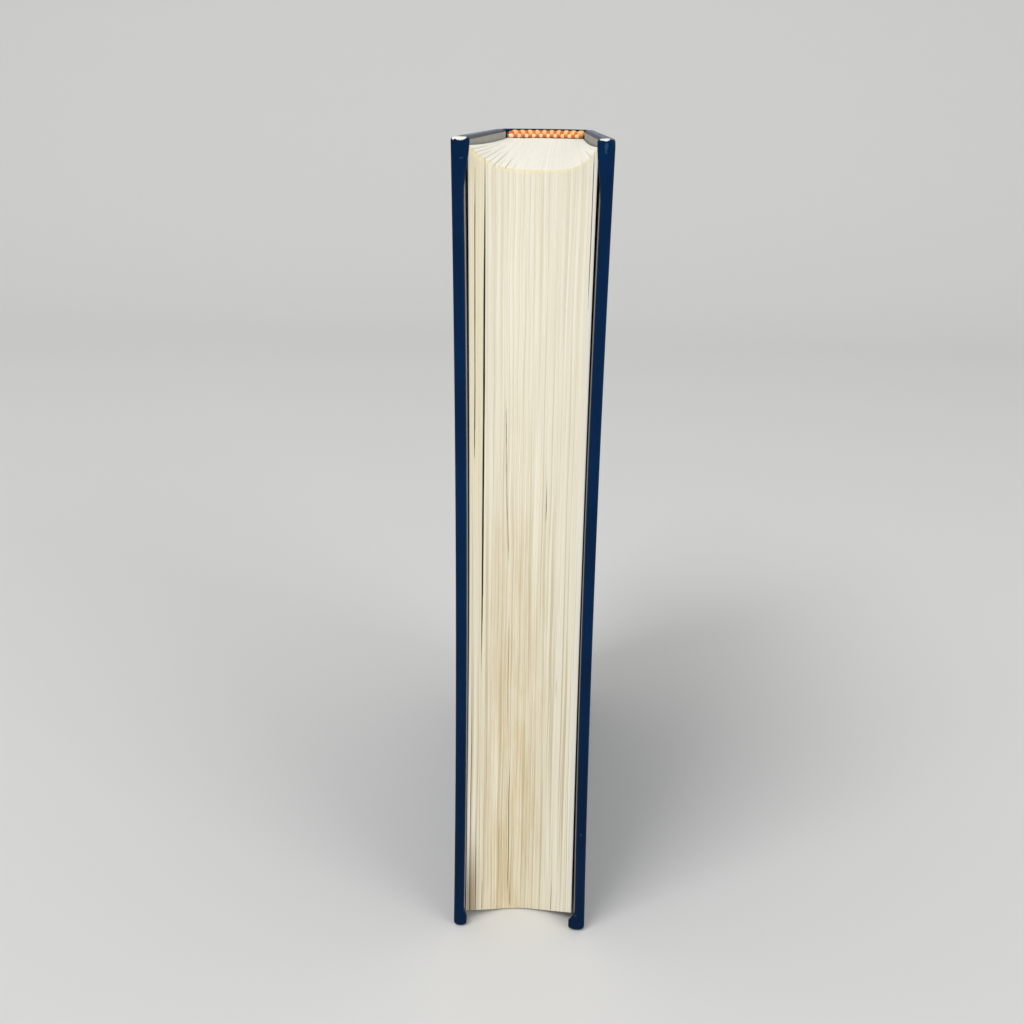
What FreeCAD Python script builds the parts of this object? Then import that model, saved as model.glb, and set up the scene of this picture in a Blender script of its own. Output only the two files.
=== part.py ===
import FreeCAD, Part
import math
import os
import Sketcher
from FreeCAD import Placement, Rotation, Vector

# A case-bound hardback book, standing on its tail with its fore-edge towards -Y and its spine towards +Y.
# X runs through the thickness, with the front cover on -X, and Z runs up from the tail to the head.
# The origin is under the middle of the book, on the surface it stands on.
# Everything is laid out from the covers' fore-edge (y = 0) back to the spine, and each piece's
# Placement then moves it forward by half the book's depth.

# The driving sizes: millimetres, apart from the beads' number and the sag's power.
SIZES = {
    "board_thickness": 2.4,
    "covering_thickness": 0.35,
    "turn_in": 15.0,
    "edge_round": 0.8,
    "board_edge_round": 0.45,
    "leaf_height": 228.4,
    "leaf_width": 152.4,
    "block_spine_width": 28.0,
    "block_fore_width": 32.2,
    "round_depth": 7.0,
    "fore_square": 2.5,
    "spine_head_square": 3.2,
    "spine_tail_square": 3.4,
    "fore_head_square": 2.0,
    "head_sag": 6.0,
    "tail_sag": 4.3,
    "sag_power": 2.8,
    "paper_thickness": 0.15,
    "flyleaf_air": 0.2,
    "cover_gap": 0.25,
    "cover_fore_gap": 0.7,
    "cover_bow": 0.95,
    "mull_thickness": 0.35,
    "mull_wing_width": 25.0,
    "lining_thickness": 0.3,
    "lining_margin": 3.0,
    "hollow_gap": 0.6,
    "inlay_thickness": 0.6,
    "joint_width": 6.5,
    "shoulder_setback": 1.5,
    "hinge_standoff": 0.55,
    "hinge_seam": 0.5,
    "pastedown_margin": 1.0,
    "bead_count": 10.0,
    "bead_pitch": 2.75,
    "bead_radius": 1.1,
    "bead_length": 1.9,
    "bead_core_radius": 0.95,
    "bead_setback": 0.4,
    "bead_rise": 1.7,
    "small_bead_radius": 0.62,
    "small_bead_length": 1.6,
    "small_core_radius": 0.5,
    "small_bead_setback": 1.1,
    "small_bead_rise": 0.75,
    "band_tape_height": 9.0,
    "band_tape_thickness": 0.35,
}

doc = FreeCAD.newDocument("hardback_book")
sheet = doc.addObject("Spreadsheet::Sheet", "Dims")
for row, (alias, value) in enumerate(SIZES.items(), start=1):
    sheet.set(f"A{row}", str(value))
    sheet.setAlias(f"A{row}", alias)
doc.recompute()


def size(alias):
    """The value of one driving size, read from the sheet."""
    return float(sheet.get(alias))


# Sizes that follow from the driving ones: as formulas for the expressions, and as numbers for the code.
HALF_SPINE = "(Dims.block_spine_width / 2)"
HALF_FORE = "(Dims.block_fore_width / 2)"
SPINE_RADIUS = f"(({HALF_SPINE}^2 + Dims.round_depth^2) / (2 * Dims.round_depth))"
FORE_RADIUS = f"(({HALF_FORE}^2 + Dims.round_depth^2) / (2 * Dims.round_depth))"
LEAF_BACK = "(Dims.fore_square + Dims.leaf_width)"
LEAF_APEX = f"({LEAF_BACK} + Dims.round_depth)"
ARC_CENTRE = f"({LEAF_APEX} - {SPINE_RADIUS})"
MULL_RADIUS = f"({SPINE_RADIUS} + Dims.mull_thickness)"
LINING_RADIUS = f"({MULL_RADIUS} + Dims.lining_thickness)"
INLAY_RADIUS = f"({LINING_RADIUS} + Dims.hollow_gap)"
COVERING_RADIUS = f"({INLAY_RADIUS} + Dims.inlay_thickness)"
SKIN_RADIUS = f"({COVERING_RADIUS} + Dims.covering_thickness)"
OVERALL_DEPTH = f"({ARC_CENTRE} + {SKIN_RADIUS})"
BOARD_HEIGHT = "(Dims.leaf_height + Dims.spine_head_square + Dims.spine_tail_square)"
SPINE_HEAD = f"({BOARD_HEIGHT} - Dims.spine_head_square)"
SPINE_TAIL = "Dims.spine_tail_square"

half_spine = size("block_spine_width") / 2
half_fore = size("block_fore_width") / 2
round_depth = size("round_depth")
fore_square = size("fore_square")
board_height = size("leaf_height") + size("spine_head_square") + size("spine_tail_square")
cloth = size("covering_thickness")
paper = size("paper_thickness")
turn_in = size("turn_in")
spine_radius = (half_spine**2 + round_depth**2) / (2 * round_depth)
fore_radius = (half_fore**2 + round_depth**2) / (2 * round_depth)
wrap_angle = math.asin(half_spine / spine_radius)
leaf_back = fore_square + size("leaf_width")
leaf_apex = leaf_back + round_depth
arc_centre = leaf_apex - spine_radius
mull_radius = spine_radius + size("mull_thickness")
lining_radius = mull_radius + size("lining_thickness")
inlay_radius = lining_radius + size("hollow_gap")
covering_radius = inlay_radius + size("inlay_thickness")
skin_radius = covering_radius + cloth
overall_depth = arc_centre + skin_radius
spine_head = board_height - size("spine_head_square")
spine_tail = size("spine_tail_square")
fore_head = board_height - size("fore_head_square")
fore_tail = fore_head - size("leaf_height")

# A cover's layers, measured outwards from the pastedown's open face: paper, turned-in covering,
# board, covering. In the joint the covering lies straight on the mull's wing.
over_paper = paper
over_turn_in = over_paper + cloth
over_board = over_turn_in + size("board_thickness")
over_cover = over_board + cloth
over_joint = over_turn_in + cloth
flyleaf_top = size("flyleaf_air") + paper
paste_x = half_spine + flyleaf_top + size("cover_gap")
groove_x = paste_x + over_joint

# The joint: a cover turns about a vertical line just outside the groove, at the block's shoulder.
hinge_x = groove_x + size("hinge_standoff")
hinge_y = leaf_back - size("shoulder_setback")
board_back = hinge_y - size("joint_width")
cover_lip = hinge_y - size("hinge_seam") / 2
spine_lip = hinge_y + size("hinge_seam") / 2
wing_front = board_back - size("mull_wing_width")

SIDES = {"front": -1, "back": 1}
pieces = []


def finish(obj, label):
    """Give a sub-part its label, move it from the layout to the book's own origin, and list it."""
    obj.Label = label
    obj.Placement = Placement(Vector(0, -overall_depth / 2, 0), Rotation())
    obj.setExpression("Placement.Base.y", f"-{OVERALL_DEPTH} / 2")
    pieces.append(obj)
    return obj


def shaped(name, shape):
    """An object that holds a shape made with Part's own functions."""
    obj = doc.addObject("Part::Feature", name)
    obj.Shape = shape
    return obj


# Bowed layers. Each layer of a cover, and each side of the page block, lies between copies of one
# surface, shifted along X: straight at the joint, and bowed inwards at mid-height at the fore-edge.
def bow_share(z):
    """0 at the tail and at the head, 1 at mid-height."""
    return 4 * (z / board_height) * (1 - z / board_height)


def bow_control(low, high):
    """The middle control value of bow_share between two heights."""
    return 2 * (low + high) / board_height - 4 * low * high / board_height**2


def bowed_layer(side, form, inner, outer, span_y, span_z):
    """A layer between two copies of a bowed surface, cut to a rectangle in Y and Z."""
    root_x, splay, bow = form
    margin = 1.0
    low = span_z[0] - margin
    high = span_z[1] + margin
    column = (
        (low, bow_share(low)),
        ((low + high) / 2, bow_control(low, high)),
        (high, bow_share(high)),
    )
    surface = Part.BezierSurface()
    surface.increase(1, 2)
    for i, y in enumerate((span_y[0] - margin, span_y[1] + margin), start=1):
        reach = (hinge_y - y) / hinge_y
        for j, (z, share) in enumerate(column, start=1):
            x = root_x + reach * (splay - bow * share) + inner
            surface.setPole(i, j, Vector(side * x, y, z))
    layer = surface.toShape().extrude(Vector(side * (outer - inner), 0, 0))
    window = Part.makeBox(2 * overall_depth, span_y[1] - span_y[0], span_z[1] - span_z[0],
                          Vector(-overall_depth, span_y[0], span_z[0]))
    return layer.common(window)


gap_growth = size("cover_fore_gap") - size("cover_gap")
COVER_FORM = (paste_x, half_fore - half_spine + gap_growth, size("cover_bow"))
BLOCK_FORM = (half_spine, half_fore - half_spine, size("cover_bow") - gap_growth)


def cover_layer(side, inner, outer, span_y, span_z):
    """A layer of one cover, measured outwards from the pastedown's open face."""
    return bowed_layer(side, COVER_FORM, inner, outer, span_y, span_z)


def rounded(shape, radius, keep_sharp):
    """The shape with its edges rounded, apart from those that keep_sharp names by their middle point."""
    edges = []
    for edge in shape.Edges:
        middle = edge.valueAt((edge.FirstParameter + edge.LastParameter) / 2)
        if not keep_sharp(middle):
            edges.append(edge)
    return shape.makeFillet(radius, edges)


# The page block: the leaves as one solid.
def plane_sketch(body, name):
    """A sketch on its own body's horizontal plane."""
    plane = [item for item in body.Origin.OriginFeatures if item.Role == "XY_Plane"][0]
    sketch = body.newObject("Sketcher::SketchObject", name)
    sketch.AttachmentSupport = [(plane, "")]
    sketch.MapMode = "FlatFace"
    return sketch


def bound(sketch, constraint, formula):
    """Add a constraint that follows a formula in the sheet's sizes."""
    index = sketch.addConstraint(constraint)
    sketch.setExpression(f"Constraints[{index}]", formula)


def pad(body, sketch, length):
    """A pad of the sketch, its length a formula."""
    block = body.newObject("PartDesign::Pad", sketch.Name + "_pad")
    block.Profile = sketch
    block.setExpression("Length", length)
    sketch.Visibility = False
    return block


def sag_outline(y, head, head_drop, tail, tail_drop):
    """The page block's outline at one depth, seen from the fore-edge, wider than the block itself."""
    wide = 2 * half_fore
    steps = 12
    curves = []
    for level, drop in ((head, head_drop), (tail, tail_drop)):
        across = [half_fore * (2 * i / steps - 1) for i in range(steps + 1)]
        shares = [1 - (abs(x) / half_fore) ** size("sag_power") for x in across]
        points = [Vector(x, y, level - drop * share) for x, share in zip(across, shares)]
        curve = Part.BSplineCurve()
        curve.interpolate(Points=points, Parameters=[i / steps for i in range(steps + 1)])
        curves.append([
            Part.LineSegment(Vector(-wide, y, level), points[0]).toShape(),
            curve.toShape(),
            Part.LineSegment(points[-1], Vector(wide, y, level)).toShape(),
        ])
    right = Part.LineSegment(Vector(wide, y, head), Vector(wide, y, tail)).toShape()
    left = Part.LineSegment(Vector(-wide, y, tail), Vector(-wide, y, head)).toShape()
    return Part.Wire(curves[0] + [right] + curves[1][::-1] + [left])


def page_plan():
    """The block seen from above: rounded at the spine, and as hollow at the fore-edge."""
    body = doc.addObject("PartDesign::Body", "page_plan")
    sketch = plane_sketch(body, "page_plan_outline")
    spread = 1.0
    spine_reach = half_spine + spread
    fore_reach = half_fore + spread
    spine_end = arc_centre + math.sqrt(spine_radius**2 - spine_reach**2)
    fore_centre = fore_square + round_depth - fore_radius
    fore_end = fore_centre + math.sqrt(fore_radius**2 - fore_reach**2)
    spine_right = Vector(spine_reach, spine_end, 0)
    spine_left = Vector(-spine_reach, spine_end, 0)
    fore_right = Vector(fore_reach, fore_end, 0)
    fore_left = Vector(-fore_reach, fore_end, 0)
    sketch.addGeometry(Part.LineSegment(fore_right, spine_right), False)
    sketch.addGeometry(Part.Arc(spine_right, Vector(0, leaf_apex, 0), spine_left), False)
    sketch.addGeometry(Part.LineSegment(spine_left, fore_left), False)
    sketch.addGeometry(Part.Arc(fore_right, Vector(0, fore_square + round_depth, 0), fore_left), False)
    for first, start, second, end in ((0, 2, 1, 1), (1, 2, 2, 1), (2, 2, 3, 2), (3, 1, 0, 1)):
        sketch.addConstraint(Sketcher.Constraint("Coincident", first, start, second, end))
    for arc in (1, 3):
        sketch.addConstraint(Sketcher.Constraint("PointOnObject", arc, 3, -2))
        sketch.addConstraint(Sketcher.Constraint("Symmetric", arc, 1, arc, 2, -2))
    bound(sketch, Sketcher.Constraint("DistanceX", -1, 1, 0, 2, spine_reach), f"{HALF_SPINE} + {spread}")
    bound(sketch, Sketcher.Constraint("DistanceX", -1, 1, 0, 1, fore_reach), f"{HALF_FORE} + {spread}")
    bound(sketch, Sketcher.Constraint("Radius", 1, spine_radius), SPINE_RADIUS)
    bound(sketch, Sketcher.Constraint("Radius", 3, fore_radius), FORE_RADIUS)
    bound(sketch, Sketcher.Constraint("DistanceY", -1, 1, 1, 3, arc_centre), ARC_CENTRE)
    bound(sketch, Sketcher.Constraint("DistanceY", 3, 3, -1, 1, -fore_centre),
          f"{FORE_RADIUS} - Dims.fore_square - Dims.round_depth")
    pad(body, sketch, BOARD_HEIGHT)
    return body


def make_text_block():
    """The leaves: their plan, their sagging head and tail, and their sides nipped in at mid-height."""
    plan = page_plan()
    fore = sag_outline(0.0, fore_head, size("head_sag"), fore_tail, size("tail_sag"))
    spine = sag_outline(overall_depth, spine_head, 0.0, spine_tail, 0.0)
    sagging = shaped("page_sag", Part.makeLoft([fore, spine], True, True))
    whole_y = (-1.0, overall_depth)
    whole_z = (0.0, board_height)
    cheeks = [bowed_layer(side, BLOCK_FORM, 0.0, half_fore, whole_y, whole_z) for side in SIDES.values()]
    beside = shaped("page_cheeks", Part.makeCompound(cheeks))
    common = doc.addObject("Part::MultiCommon", "pages_full")
    common.Shapes = [plan, sagging]
    block = doc.addObject("Part::Cut", "pages")
    block.Base = common
    block.Tool = beside
    finish(block, "text_block")


def make_flyleaf(cover, side):
    """The free half of an endpaper, lying against the pages."""
    span_y = (fore_square, leaf_back)
    leaf = bowed_layer(side, BLOCK_FORM, size("flyleaf_air"), flyleaf_top, span_y, (0.0, board_height))
    corners = [(0.0, fore_tail), (overall_depth, spine_tail), (overall_depth, spine_head), (0.0, fore_head)]
    outline = Part.makePolygon([Vector(-overall_depth, y, z) for y, z in corners + corners[:1]])
    window = Part.Face(outline).extrude(Vector(2 * overall_depth, 0, 0))
    finish(shaped(f"{cover}_leaf", leaf.common(window)), f"{cover}_flyleaf")


# The spine, from the leaves outwards: mull, paper lining, the hollow, card inlay, covering.
def arc_outline(body, name, inner, outer, base):
    """A strip between two arcs about the spine's centre, over the rounded part of the block."""
    sketch = plane_sketch(body, name)
    sketch.setExpression("AttachmentOffset.Base.z", base)
    centre = Vector(0, arc_centre, 0)
    first = math.pi / 2 - wrap_angle
    last = math.pi / 2 + wrap_angle
    for radius, formula in (inner, outer):
        circle = Part.Circle(centre, Vector(0, 0, 1), radius)
        sketch.addGeometry(Part.ArcOfCircle(circle, first, last), False)
    for angle in (first, last):
        ray = Vector(math.cos(angle), math.sin(angle), 0)
        ends = [centre + ray * radius for radius, formula in (inner, outer)]
        sketch.addGeometry(Part.LineSegment(*ends), False)
    for line, end in ((2, 1), (3, 2)):
        sketch.addConstraint(Sketcher.Constraint("Coincident", line, 1, 0, end))
        sketch.addConstraint(Sketcher.Constraint("Coincident", line, 2, 1, end))
        sketch.addConstraint(Sketcher.Constraint("PointOnObject", 0, 3, line))
    sketch.addConstraint(Sketcher.Constraint("Coincident", 0, 3, 1, 3))
    sketch.addConstraint(Sketcher.Constraint("PointOnObject", 0, 3, -2))
    sketch.addConstraint(Sketcher.Constraint("Symmetric", 0, 1, 0, 2, -2))
    bound(sketch, Sketcher.Constraint("DistanceY", -1, 1, 0, 3, arc_centre), ARC_CENTRE)
    chord = 2 * inner[0] * math.sin(wrap_angle)
    bound(sketch, Sketcher.Constraint("DistanceX", 0, 2, 0, 1, chord),
          f"2 * {inner[1]} * {HALF_SPINE} / {SPINE_RADIUS}")
    for arc, (radius, formula) in enumerate((inner, outer)):
        bound(sketch, Sketcher.Constraint("Radius", arc, radius), formula)
    return sketch


def arc_body(name, inner, outer, base, height):
    """A body that is one curved strip of the spine."""
    body = doc.addObject("PartDesign::Body", name)
    pad(body, arc_outline(body, name + "_arc", inner, outer, base), height)
    return body


LEAVES = (spine_radius, SPINE_RADIUS)
OVER_MULL = (mull_radius, MULL_RADIUS)
OVER_LINING = (lining_radius, LINING_RADIUS)
UNDER_INLAY = (inlay_radius, INLAY_RADIUS)
UNDER_COVERING = (covering_radius, COVERING_RADIUS)
OVER_COVERING = (skin_radius, SKIN_RADIUS)
TURN_IN_ROOM = (inlay_radius - cloth, f"({INLAY_RADIUS} - Dims.covering_thickness)")


def make_spine_layers():
    """The mull and the lining on the leaves, and the card that stiffens the covering."""
    body = arc_body("mull", LEAVES, OVER_MULL, "Dims.turn_in", f"{BOARD_HEIGHT} - 2 * Dims.turn_in")
    finish(body, "spine_mull")
    body = arc_body("lining", OVER_MULL, OVER_LINING, f"{SPINE_TAIL} + Dims.lining_margin",
                    "Dims.leaf_height - 2 * Dims.lining_margin")
    finish(body, "spine_lining")
    body = arc_body("inlay", UNDER_INLAY, UNDER_COVERING, "Dims.covering_thickness",
                    f"{BOARD_HEIGHT} - 2 * Dims.covering_thickness")
    finish(body, "spine_inlay")


def shoulder_outline(body, name, layer, base, side):
    """The covering's run from the rounded spine down into one groove, seen from above."""
    outer_radius = covering_radius + cloth * (1 - layer)
    inner_radius = outer_radius - cloth
    outer_x = groove_x - cloth * layer
    ray = Vector(side * math.sin(wrap_angle), math.cos(wrap_angle), 0)
    centre = Vector(0, arc_centre, 0)
    corners = [centre + ray * inner_radius, centre + ray * outer_radius,
               Vector(side * outer_x, spine_lip, 0), Vector(side * (outer_x - cloth), spine_lip, 0)]
    sketch = plane_sketch(body, name)
    sketch.setExpression("AttachmentOffset.Base.z", base)
    for i, corner in enumerate(corners):
        sketch.addGeometry(Part.LineSegment(corner, corners[(i + 1) % 4]), False)
    for i in range(4):
        sketch.addConstraint(Sketcher.Constraint("Coincident", i, 2, (i + 1) % 4, 1))
    for i, corner in enumerate(corners):
        sketch.addConstraint(Sketcher.Constraint("DistanceX", -1, 1, i, 1, corner.x))
        sketch.addConstraint(Sketcher.Constraint("DistanceY", -1, 1, i, 1, corner.y))
    return sketch


def make_spine_covering():
    """The covering over the spine, turned in over the card at the head and the tail."""
    body = doc.addObject("PartDesign::Body", "covering")
    high = BOARD_HEIGHT
    fold = "Dims.covering_thickness"
    deep = "Dims.turn_in"
    pad(body, arc_outline(body, "skin", UNDER_COVERING, OVER_COVERING, "0"), high)
    pad(body, arc_outline(body, "tail_fold", TURN_IN_ROOM, OVER_COVERING, "0"), fold)
    pad(body, arc_outline(body, "tail_turn", TURN_IN_ROOM, UNDER_INLAY, "0"), deep)
    pad(body, arc_outline(body, "head_fold", TURN_IN_ROOM, OVER_COVERING, f"{high} - {fold}"), fold)
    pad(body, arc_outline(body, "head_turn", TURN_IN_ROOM, UNDER_INLAY, f"{high} - {deep}"), deep)
    for cover, side in SIDES.items():
        pad(body, shoulder_outline(body, f"{cover}_shoulder", 0, "0", side), high)
        pad(body, shoulder_outline(body, f"{cover}_tail_shoulder", 1, "0", side), deep)
        pad(body, shoulder_outline(body, f"{cover}_head_shoulder", 1, f"{high} - {deep}", side), deep)
    finish(body, "spine_covering")


# The head and tail bands: a tape glued to the spine, with two rows of wound thread along its edge.
def arc_point(radius, x, z):
    """A point on the arc of that radius about the spine's centre."""
    return Vector(x, arc_centre + math.sqrt(radius**2 - x**2), z)


def bead_row(name, sizes, beads, level, up):
    """A cord along the edge of a band, in straight runs, and the beads of thread wound over it."""
    bead, long, core, setback, rise = sizes
    radius = spine_radius - size(setback)
    z = level + up * size(rise)
    middles = [(i - (beads - 1) / 2) * size("bead_pitch") for i in range(beads)]
    reach = radius * math.sin(wrap_angle)
    points = [arc_point(radius, x, z) for x in [-reach] + middles + [reach]]
    parts = []
    for i, (here, there) in enumerate(zip(points, points[1:])):
        run = doc.addObject("Part::Cylinder", f"{name}_run_{i}")
        run.setExpression("Radius", f"Dims.{core}")
        run.Height = (there - here).Length
        run.Placement = Placement(here, Rotation(Vector(0, 0, 1), there - here))
        parts.append(run)
    for i, middle in enumerate(points[1:-1]):
        along = (points[i + 2] - points[i]).normalize()
        barrel = doc.addObject("Part::Cylinder", f"{name}_bead_{i}")
        barrel.setExpression("Radius", f"Dims.{bead}")
        barrel.setExpression("Height", f"Dims.{long}")
        barrel.Placement = Placement(middle - along * (size(long) / 2), Rotation(Vector(0, 0, 1), along))
        parts.append(barrel)
    row = doc.addObject("Part::MultiFuse", name)
    row.Shapes = parts
    return row


def make_band(end, level, up):
    """One band. level is the pages' edge at the spine, and up is 1 at the head, -1 at the tail."""
    tape_base = f"{SPINE_HEAD} - Dims.band_tape_height"
    if up < 0:
        tape_base = f"{SPINE_TAIL} - Dims.bead_rise"
    over_tape = (spine_radius + size("band_tape_thickness"), f"({SPINE_RADIUS} + Dims.band_tape_thickness)")
    tape = arc_body(f"{end}_tape", LEAVES, over_tape, tape_base, "Dims.band_tape_height + Dims.bead_rise")
    count = round(size("bead_count"))
    large = ("bead_radius", "bead_length", "bead_core_radius", "bead_setback", "bead_rise")
    small = ("small_bead_radius", "small_bead_length", "small_core_radius",
             "small_bead_setback", "small_bead_rise")
    band = doc.addObject("Part::MultiFuse", f"{end}_woven")
    band.Shapes = [
        tape,
        bead_row(f"{end}_large", large, count, level, up),
        bead_row(f"{end}_small", small, count + 1, level, up),
    ]
    finish(band, f"{end}_band")


# The covers: board, covering with its turn-ins, the mull's wing and the pastedown.
WHOLE_HEIGHT = (0.0, board_height)
BETWEEN_TURN_INS = (turn_in, board_height - turn_in)
COVERING_SPAN = (0.0, board_back)
BOARD_SPAN = (cloth, board_back - cloth)
BOARD_RISE = (cloth, board_height - cloth)


def make_board(cover, side):
    """The grey board, its edges eased."""
    board = cover_layer(side, over_turn_in, over_board, BOARD_SPAN, BOARD_RISE)
    finish(shaped(f"{cover}_card", rounded(board, size("board_edge_round"), lambda middle: False)),
           f"{cover}_board")


def make_cover_covering(cover, side):
    """The covering on one cover: round the board on all four edges, and on into the groove."""
    envelope = cover_layer(side, over_paper, over_cover, COVERING_SPAN, WHOLE_HEIGHT)

    def in_joint(middle):
        """Whether an edge lies in the board's joint edge, on its inner side."""
        inner_half = abs(middle.x) < paste_x + (over_paper + over_cover) / 2
        return middle.y > board_back - cloth and inner_half

    outside = rounded(envelope, size("edge_round"), in_joint)
    board = cover_layer(side, over_turn_in, over_board, BOARD_SPAN, BOARD_RISE)
    board = rounded(board, size("board_edge_round"), lambda middle: False)
    joint = cover_layer(side, over_paper, over_joint, (board_back - cloth, cover_lip), WHOLE_HEIGHT)
    opening = cover_layer(side, 0.0, over_turn_in, (turn_in, cover_lip), BETWEEN_TURN_INS)
    skin = outside.fuse(joint).cut(board).cut(opening)
    finish(shaped(f"{cover}_skin", skin.removeSplitter()), f"{cover}_covering")


def make_wing(cover, side):
    """The mull's wing, glued to the board's joint edge between the turn-ins."""
    wing = cover_layer(side, over_paper, over_turn_in, (wing_front, cover_lip), BETWEEN_TURN_INS)
    finish(shaped(f"{cover}_wing", wing), f"{cover}_mull_wing")


def make_pastedown(cover, side):
    """The glued half of an endpaper: over the turn-ins and the wing, and down onto the board between."""
    margin = size("pastedown_margin")
    span_y = (margin, cover_lip)
    span_z = (margin, board_height - margin)
    well_y = (turn_in, wing_front)
    floor_y = (turn_in + paper, wing_front - paper)
    floor_z = (turn_in + paper, board_height - turn_in - paper)
    face = cover_layer(side, 0.0, over_paper, span_y, span_z)
    well = cover_layer(side, 0.0, over_turn_in, well_y, BETWEEN_TURN_INS)
    room = cover_layer(side, 0.0, over_turn_in - paper, floor_y, floor_z)
    finish(shaped(f"{cover}_paste", face.fuse(well).cut(room).removeSplitter()), f"{cover}_pastedown")


make_text_block()
make_spine_layers()
make_spine_covering()
make_band("head", spine_head, 1)
make_band("tail", spine_tail, -1)
for cover, side in SIDES.items():
    make_flyleaf(cover, side)
    make_board(cover, side)
    make_cover_covering(cover, side)
    make_wing(cover, side)
    make_pastedown(cover, side)

doc.recompute()

for obj in doc.Objects:
    if "Invalid" in obj.State or "Error" in obj.State:
        raise RuntimeError(f"{obj.Name} failed: {obj.State}")

os.makedirs("parts", exist_ok=True)
for piece in pieces:
    shape = piece.Shape
    if shape.isNull() or not shape.isValid():
        raise RuntimeError(f"{piece.Label} has no valid shape")
    shape.exportStep(f"parts/{piece.Label}.step")
    box = shape.BoundBox
    print(f"{piece.Label}: {len(shape.Solids)} solid(s), {shape.Volume:.1f} mm3, "
          f"x {box.XMin:.2f}..{box.XMax:.2f}, y {box.YMin:.2f}..{box.YMax:.2f}, "
          f"z {box.ZMin:.2f}..{box.ZMax:.2f}")
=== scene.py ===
# %% [markdown]
# # A hardback book, dressed over its CAD frame
# The solids of the book come in already placed, in metres: x runs through the thickness, y from the
# opening edge back to the spine, z up. This file gives each of them its surface, and rebuilds the
# pieces whose real shape is finer than the solid, such as the edge of the leaves and the woven bands.

# %% Load the book's solids
import math

import bpy
import numpy as np
from mathutils import Matrix, Vector


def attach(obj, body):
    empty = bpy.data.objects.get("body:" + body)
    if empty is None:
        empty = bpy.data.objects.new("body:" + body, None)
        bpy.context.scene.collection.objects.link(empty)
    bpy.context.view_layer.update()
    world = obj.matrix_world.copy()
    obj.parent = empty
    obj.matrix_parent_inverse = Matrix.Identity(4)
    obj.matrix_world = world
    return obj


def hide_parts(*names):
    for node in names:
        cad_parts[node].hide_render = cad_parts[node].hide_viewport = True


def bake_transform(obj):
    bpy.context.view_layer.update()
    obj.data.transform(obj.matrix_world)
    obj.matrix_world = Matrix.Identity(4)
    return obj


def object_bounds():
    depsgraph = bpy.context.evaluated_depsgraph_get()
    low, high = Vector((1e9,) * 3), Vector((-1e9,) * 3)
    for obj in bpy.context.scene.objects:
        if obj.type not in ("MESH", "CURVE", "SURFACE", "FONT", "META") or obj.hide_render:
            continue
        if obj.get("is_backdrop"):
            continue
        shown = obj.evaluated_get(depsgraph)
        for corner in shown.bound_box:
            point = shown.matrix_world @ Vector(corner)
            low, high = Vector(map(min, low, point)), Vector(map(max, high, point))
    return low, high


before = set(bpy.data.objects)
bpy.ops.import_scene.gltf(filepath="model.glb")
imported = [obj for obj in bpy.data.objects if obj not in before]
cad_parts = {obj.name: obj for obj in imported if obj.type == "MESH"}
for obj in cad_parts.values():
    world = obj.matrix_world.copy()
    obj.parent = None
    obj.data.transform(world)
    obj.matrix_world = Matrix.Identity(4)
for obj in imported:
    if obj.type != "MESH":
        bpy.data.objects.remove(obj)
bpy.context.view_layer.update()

# %% [markdown]
# ## The sizes of this book
# A bound book is measured from its boards: how far the leaves sit back from them on each edge, and
# how thick the boards and their covering are. The same sizes drive the solids, so every piece made
# below can be worked out from them instead of being nudged into place by eye.

# %% Sizes in millimetres
MM = 0.001
BOARD_HEIGHT = 235.0
HINGE_X, HINGE_Y = 16.0, 153.4       # the line on which a cover turns
BOARD_BACK = 146.9                   # the board's edge at the joint
SPINE_RADIUS = 17.5                  # of the rounded backs of the leaves
SPINE_SKIN = 19.7                    # of the covering round them
ARC_CENTRE = 144.4                   # of both these arcs
FORE_RADIUS = 22.015                 # of the hollow in the leaves' opening edge
FORE_CENTRE = -12.515                # of that hollow, outside the book
HALF_SPINE, HALF_FORE = 14.0, 16.1   # half the block's thickness at the spine and at its opening edge
BLOCK_LEAN, BLOCK_BOW = 2.1, 0.5     # how the block widens to its opening edge, and narrows at mid-height
COVER_LEAN, COVER_BOW = 2.55, 0.95   # the same for the covers, which stand a little off it
DEPTH = ARC_CENTRE + SPINE_SKIN
WRAP = math.asin(HALF_SPINE / SPINE_RADIUS)
JOINT_END = ARC_CENTRE + SPINE_SKIN * math.cos(WRAP)
rng = np.random.default_rng(7)


def to_frame(x, y, z):
    """Millimetres measured from the boards' opening edge, as metres in the frame of the solids."""
    return np.stack([x, y - DEPTH / 2, z], axis=-1) * MM


def bow(z):
    """0 at the tail and the head, 1 at mid-height, where everything curves inwards."""
    return 4 * (z / BOARD_HEIGHT) * (1 - z / BOARD_HEIGHT)


def reach(y):
    """0 at the hinge, 1 at the boards' opening edge."""
    return (HINGE_Y - y) / HINGE_Y


def smooth(low, high, value):
    """0 below low, 1 above high, and an even turn between them."""
    t = np.clip((value - low) / (high - low), 0, 1)
    return t * t * (3 - 2 * t)


print(f"depth {DEPTH:.1f} mm, spine wraps {2 * math.degrees(WRAP):.0f} degrees")

# %% [markdown]
# ## One way to make every shape
# The leaves, the covering with its folds and the spine are all bent sheets and blocks. Each is made
# as a grid of small cells: some cells are filled, the skin round the filled ones is taken, and its
# points are then bent to the real form. The skin is always closed, with even faces, and a fold or a
# pocket is only a matter of which cells are left empty. Modelling by hand would be looser work here.

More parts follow.
